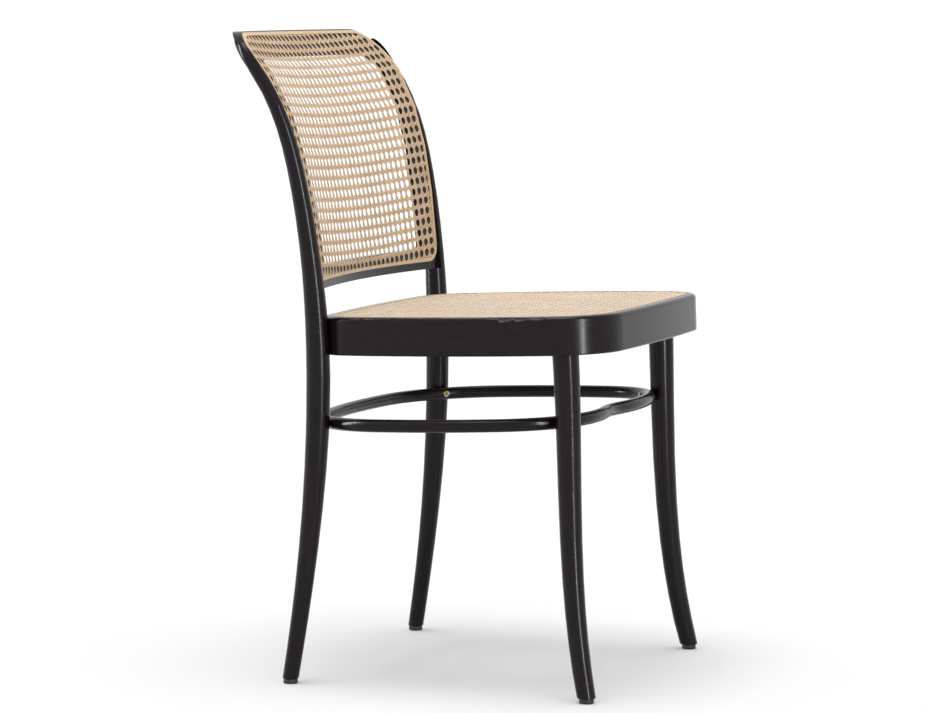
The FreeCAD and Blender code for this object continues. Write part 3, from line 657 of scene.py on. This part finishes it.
# Radius and height of the glide and of the nail's head, from the middle of the underside.
GLIDE = [(0.0, 0.0016), (0.0040, 0.0016), (0.0045, 0.0), (0.0080, 0.0), (0.0088, 0.0003),
         (0.00925, 0.0011), (0.00925, 0.0054), (0.0090, 0.0060), (0.0, 0.0060)]
NAIL_HEAD = [(0.0, 0.0004), (0.0019, 0.0006), (0.0032, 0.0010), (0.0035, 0.0013),
             (0.0034, 0.0016), (0.0, 0.0016)]
glide_plastic = black_plastic("glide_black_plastic")
for hand in ("left", "right"):
    for end in ("front", "rear"):
        node = "glide_%s_%s" % (end, hand)
        spots = np.array([v.co[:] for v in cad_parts[node].data.vertices])
        spot = (spots.min(0) + spots.max(0)) / 2.0
        glide = turned(node + "_turned", GLIDE, spot[0], spot[1])
        glide.data.materials.append(glide_plastic)
        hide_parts(node)
        nail = turned("glide_nail_%s_%s" % (end, hand), NAIL_HEAD, spot[0], spot[1], 24)
        nail.data.materials.append(bright_zinc)

# The studio: a white floor that keeps the chair's shadow, a white room, soft light from
# overhead, and a strip lamp on each side of the camera that shows only as a reflection.
FLOOR_REACH = 400.0
floor_mesh = bpy.data.meshes.new("floor")
floor_mesh.from_pydata([(x * FLOOR_REACH, y * FLOOR_REACH, 0)
                        for x, y in ((-1, -1), (1, -1), (1, 1), (-1, 1))], [], [(0, 1, 2, 3)])
floor = placed("floor", floor_mesh)


def seen_directly(tone):
    """1 for what the camera, a mirror or glass looks at, 0 for light on the chair."""
    path = [tone.node("ShaderNodeLightPath", output=name)
            for name in ("Is Camera Ray", "Is Glossy Ray", "Is Transmission Ray")]
    return tone.maths("MAXIMUM", path[0], tone.maths("MAXIMUM", path[1], path[2]))


floor_paint, _, tone = finish("floor_white")
floor_lit = tone.node("ShaderNodeBsdfDiffuse", None, {"Color": (0.80, 0.80, 0.80, 1.0)})
floor_spot = tone.node("ShaderNodeNewGeometry", output="Position").split()
from_chair = tone.maths("SQRT", floor_spot[0] * floor_spot[0] + floor_spot[1] * floor_spot[1])
floor_glow = tone.node("ShaderNodeEmission", None, {
    "Color": (1.0, 1.0, 1.0, 1.0), "Strength": from_chair.step(0.45, 1.6) * 0.03 + 0.13})
floor_both = tone.node("ShaderNodeAddShader", None, {0: floor_lit, 1: floor_glow})
floor_seen = tone.node("ShaderNodeMixShader", None,
                       {0: seen_directly(tone), 1: floor_lit, 2: floor_both})
tone.tree.links.new(floor_seen.socket, tone.tree.nodes["Material Output"].inputs["Surface"])
floor_mesh.materials.append(floor_paint)

room = bpy.data.worlds.new("room")
room.use_nodes = True
bpy.context.scene.world = room
tone = Shade(room.node_tree)
background = room.node_tree.nodes["Background"]
background.inputs["Color"].default_value = (1.0, 1.0, 1.0, 1.0)
room_light = seen_directly(tone) * 0.32 + 0.68
room.node_tree.links.new(room_light.socket, background.inputs["Strength"])


CAMERA_PLACE = Vector((-4.5415, -1.7419, 0.8778))
CAMERA_TURN = math.radians(68.93)
CAMERA_FALL = 5.546
FOCAL_PIXELS, PHOTO_PIXELS, SENSOR = 3740.5, 925.0, 36.0
CHAIR_MIDDLE = Vector((0.0, 0.0, 0.45))
towards_camera = math.atan2(CAMERA_PLACE.y, CAMERA_PLACE.x)


def round_the_chair(degrees_right, distance, height):
    """A place round the chair, so many degrees to the right of the camera."""
    angle = towards_camera + math.radians(degrees_right)
    return (distance * math.cos(angle), distance * math.sin(angle), height)


def strip(name, spot, wide, tall, watts):
    """A strip lamp towards the chair, for the highlights along the rods."""
    data = bpy.data.lights.new(name, "AREA")
    data.shape, data.size, data.size_y, data.energy = "RECTANGLE", wide, tall, watts
    made = placed(name, data)
    made.location = spot
    made.rotation_euler = (CHAIR_MIDDLE - Vector(spot)).to_track_quat("-Z", "Y").to_euler()
    made.visible_diffuse = False


strip("right_strip", round_the_chair(35.0, 3.0, 1.1), 0.22, 2.2, 70.0)
strip("left_strip", round_the_chair(-92.0, 2.6, 1.3), 0.26, 1.8, 62.0)
overhead = bpy.data.lights.new("overhead", "SUN")
overhead.energy, overhead.angle = 1.45, math.radians(34.0)
overhead_lamp = placed("overhead", overhead)
overhead_way = Vector(round_the_chair(-60.0, 0.08, 1.0)) * -1.0
overhead_lamp.rotation_euler = overhead_way.to_track_quat("-Z", "Y").to_euler()

camera_data = bpy.data.cameras.new("camera")
camera_data.sensor_width = SENSOR
camera_data.lens = FOCAL_PIXELS / PHOTO_PIXELS * SENSOR
camera = placed("camera", camera_data)
camera.location = CAMERA_PLACE
camera.rotation_euler = (math.radians(90.0 - CAMERA_FALL), 0.0, -CAMERA_TURN)
bpy.context.scene.camera = camera
bpy.context.scene.view_settings.view_transform = "Standard"
